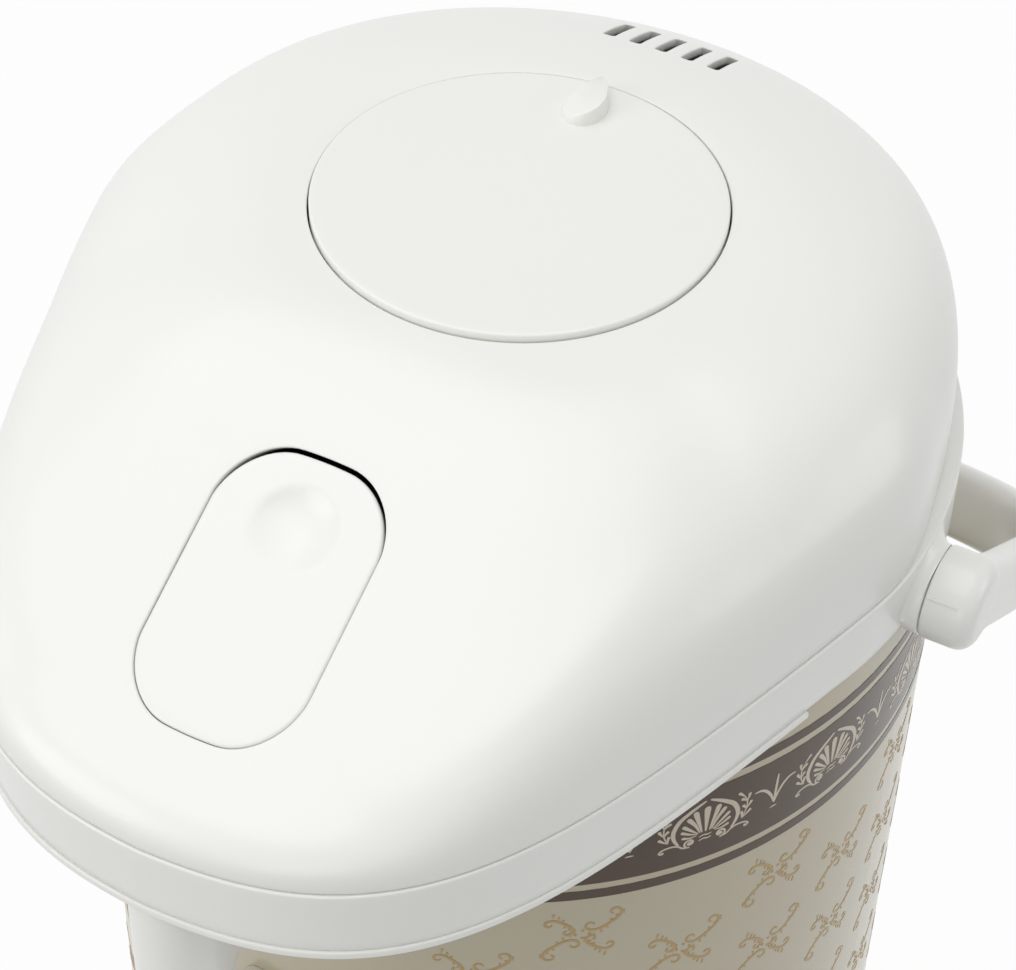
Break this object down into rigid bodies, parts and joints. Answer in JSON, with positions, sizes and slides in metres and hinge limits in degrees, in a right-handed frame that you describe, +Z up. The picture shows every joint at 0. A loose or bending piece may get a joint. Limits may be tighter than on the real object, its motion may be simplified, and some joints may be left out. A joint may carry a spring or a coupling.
{
  "type": "electric thermo pot",
  "caption": "Heated hot water pot with a domed hinged lid, press-down air pump, swinging carrying handle and an overhanging nose with a spout.",
  "frame": {"origin": "on the body's axis, in the plane that the rubber feet stand on", "axes": "+Z up, -Y towards the nose and spout, +Y towards the lid hinge, +X to the right-hand handle pivot seen from behind the nose"},
  "size_m": [0.2332, 0.2712, 0.3065],
  "materials": {
    "white_plastic": "smooth glossy moulded plastic",
    "inner_plastic": "plain moulded heat-resistant plastic",
    "printed_steel": "cream enamel with a printed ornament band, glossy",
    "steel": "drawn stainless steel, satin",
    "cast_plate": "cast aluminium",
    "spring_wire": "drawn spring wire",
    "brass": "plated contact pins",
    "black_plastic": "dark moulded plastic",
    "black_rubber": "soft black rubber",
    "silicone": "translucent silicone rubber",
    "board": "glass-fibre circuit board",
    "ceramic": "ceramic fuse body",
    "panel": "glossy moulded panel",
    "clear": "clear moulded window",
    "lamp": "tinted lamp lens"
  },
  "bodies": {
    "root": {"base_ring": "white_plastic", "bottom_cover": "white_plastic", "rubber_feet": "black_rubber", "base_screws": "steel", "outer_body": "printed_steel", "inner_container": "steel", "container_screws": "steel", "container_seal": "silicone", "heater_plate": "cast_plate", "heater_element": "cast_plate", "heater_clamp": "steel", "heater_nut": "steel", "thermostat": "black_plastic", "thermal_fuse": "ceramic", "control_board": "board", "power_inlet": "black_plastic", "inlet_pins": "brass", "outlet_hose": "silicone", "gauge_tube": "clear", "upper_pipe": "inner_plastic", "spout_nozzle": "inner_plastic", "spout_housing": "white_plastic", "nose_cover": "white_plastic", "nose_screws": "steel", "shoulder": "white_plastic", "front_panel": "panel", "gauge_window": "clear", "lamp_lenses": "lamp", "panel_board": "board", "button_spring": "spring_wire", "hinge_bracket": "steel", "bracket_screws": "steel", "hinge_pin": "steel", "handle_pins": "inner_plastic"},
    "lid": {"lid_cover": "white_plastic", "lid_base": "white_plastic", "inner_lid_plate": "steel", "lid_gasket": "silicone", "hinge_arm": "steel", "arm_screws": "steel", "guide_sleeve": "inner_plastic", "sleeve_screws": "steel", "bellows": "black_rubber", "pump_spring": "spring_wire", "air_valve": "black_rubber", "steam_duct": "inner_plastic", "lever_pin": "steel", "latch_spring": "spring_wire"},
    "carrier": {"press_carrier": "inner_plastic"},
    "disc": {"press_disc": "white_plastic"},
    "lever": {"release_lever": "white_plastic"},
    "latch": {"latch_slide": "inner_plastic"},
    "bail": {"handle": "white_plastic"},
    "button": {"reboil_button": "inner_plastic"},
    "ball": {"valve_ball": "steel"}
  },
  "joints": [
    {"name": "lid_hinge", "type": "hinge", "parent": "root", "child": "lid", "pos_m": [0, 0.101, 0.25], "axis": [-1, 0, 0], "range_deg": [0, 80]},
    {"name": "handle_swing", "type": "hinge", "parent": "root", "child": "bail", "pos_m": [0, 0, 0.233], "axis": [1, 0, 0], "range_deg": [0, 190]},
    {"name": "lever_rock", "type": "hinge", "parent": "lid", "child": "lever", "pos_m": [0, -0.10285, 0.26717], "axis": [-1, 0, 0], "range_deg": [0, 12]},
    {"name": "latch_travel", "type": "slide", "parent": "lid", "child": "latch", "axis": [0, -1, 0], "range_m": [0, 0.003], "stiffness_N_per_m": 150, "springref_m": -0.004, "deforming": ["latch_spring"]},
    {"name": "pump_press", "type": "slide", "parent": "lid", "child": "carrier", "axis": [0, 0, -1], "range_m": [0, 0.02], "stiffness_N_per_m": 400, "springref_m": -0.005, "deforming": ["bellows", "pump_spring"]},
    {"name": "lock_turn", "type": "hinge", "parent": "carrier", "child": "disc", "pos_m": [0, 0, 0.3], "axis": [0, 0, 1], "range_deg": [-3.5, 25.7]},
    {"name": "reboil_press", "type": "slide", "parent": "root", "child": "button", "axis": [0, 1, 0], "range_m": [0, 0.0015], "stiffness_N_per_m": 400, "springref_m": -0.001, "deforming": ["button_spring"]},
    {"name": "tip_valve_lift", "type": "slide", "parent": "root", "child": "ball", "axis": [0, 0, 1], "range_m": [0, 0.002]}
  ],
  "couplings": [
    {"joint": "lever_rock", "follows": "latch_travel", "rad_per_m": 69}
  ]
}
